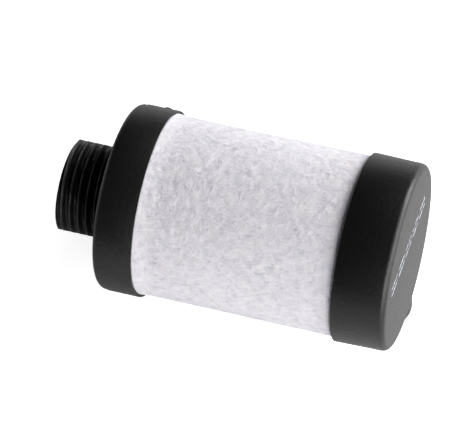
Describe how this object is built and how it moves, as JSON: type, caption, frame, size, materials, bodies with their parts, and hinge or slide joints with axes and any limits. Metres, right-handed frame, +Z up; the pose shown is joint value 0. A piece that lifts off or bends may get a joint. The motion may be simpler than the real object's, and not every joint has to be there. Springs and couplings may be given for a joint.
{
  "type": "pneumatic coalescing silencer",
  "caption": "Cylindrical coalescing exhaust silencer: threaded inlet cap, felt drain sleeve round a filter element, and a plain end cap with a drain boss.",
  "frame": {"origin": "on the axis, in the plane of the inlet cap's sealing shoulder", "axes": "+X along the axis from the inlet thread to the closed end, +Z up, the drain boss points to -Z"},
  "size_m": [0.0737, 0.04, 0.0449],
  "materials": {
    "nylon": "black glass-filled nylon, fine matt spark texture",
    "felt": "white needle-punched polyester felt, slightly fuzzy",
    "steel": "perforated zinc-plated sheet",
    "brass": "turned and knurled",
    "scrim": "thin non-woven support cloth",
    "fibre": "wrapped glass micro-fibre",
    "prefilter": "coarse bonded fibre",
    "resin": "cast potting resin"
  },
  "bodies": {
    "root": {"inlet_cap": "nylon", "end_cap": "nylon", "drain_insert": "brass", "drain_sleeve": "felt", "outer_support_tube": "steel", "outer_scrim": "scrim", "coalescing_media": "fibre", "prefilter_layer": "prefilter", "inner_scrim": "scrim", "inner_support_tube": "steel", "inlet_potting": "resin", "end_potting": "resin"}
  },
  "joints": []
}
